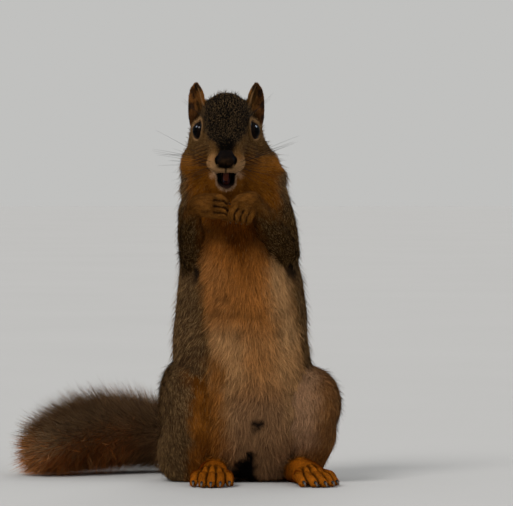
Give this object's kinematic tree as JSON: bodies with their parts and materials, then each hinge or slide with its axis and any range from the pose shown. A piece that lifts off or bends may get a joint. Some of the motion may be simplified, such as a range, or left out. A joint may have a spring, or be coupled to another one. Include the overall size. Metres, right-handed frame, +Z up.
{
  "type": "fox squirrel",
  "caption": "Life-size fox squirrel sitting up tall, hands held at its chest, mouth open, tail curled on the floor behind it.",
  "frame": {"origin": "on the floor, under the middle of the box that holds the whole squirrel", "axes": "+Z up, -Y the way the squirrel faces, +X towards the squirrel's own left"},
  "size_m": [0.2152, 0.1888, 0.2592],
  "materials": {
    "grizzled_coat": "short grizzled fur, dark brown ticked with ochre",
    "russet_coat": "soft orange-buff fur",
    "tail_coat": "long loose hair, dark with rusty tips",
    "ear_coat": "very short orange fur",
    "eye_gloss": "wet dark brown",
    "claw_horn": "dark horn, paler at the tip",
    "tooth_enamel": "orange enamel",
    "tongue_flesh": "moist"
  },
  "bodies": {
    "root": {"belly": "russet_coat", "chest": "russet_coat", "ear_left": "ear_coat", "ear_right": "ear_coat", "eye_left": "eye_gloss", "eye_right": "eye_gloss", "foot_claw_left_1": "claw_horn", "foot_claw_left_2": "claw_horn", "foot_claw_left_3": "claw_horn", "foot_claw_left_4": "claw_horn", "foot_claw_left_5": "claw_horn", "foot_claw_right_1": "claw_horn", "foot_claw_right_2": "claw_horn", "foot_claw_right_3": "claw_horn", "foot_claw_right_4": "claw_horn", "foot_claw_right_5": "claw_horn", "foot_left": "russet_coat", "foot_right": "russet_coat", "forearm_left": "grizzled_coat", "forearm_right": "grizzled_coat", "hand_claw_left_1": "claw_horn", "hand_claw_left_2": "claw_horn", "hand_claw_left_3": "claw_horn", "hand_claw_left_4": "claw_horn", "hand_claw_right_1": "claw_horn", "hand_claw_right_2": "claw_horn", "hand_claw_right_3": "claw_horn", "hand_claw_right_4": "claw_horn", "hand_left": "grizzled_coat", "hand_right": "grizzled_coat", "head": "grizzled_coat", "incisors": "tooth_enamel", "lower_jaw": "grizzled_coat", "neck": "grizzled_coat", "rump": "grizzled_coat", "shin_left": "grizzled_coat", "shin_right": "grizzled_coat", "tail_base": "tail_coat", "tail_middle": "tail_coat", "tail_tip": "tail_coat", "thigh_left": "grizzled_coat", "thigh_right": "grizzled_coat", "tongue": "tongue_flesh", "upper_arm_left": "grizzled_coat", "upper_arm_right": "grizzled_coat"}
  },
  "joints": []
}
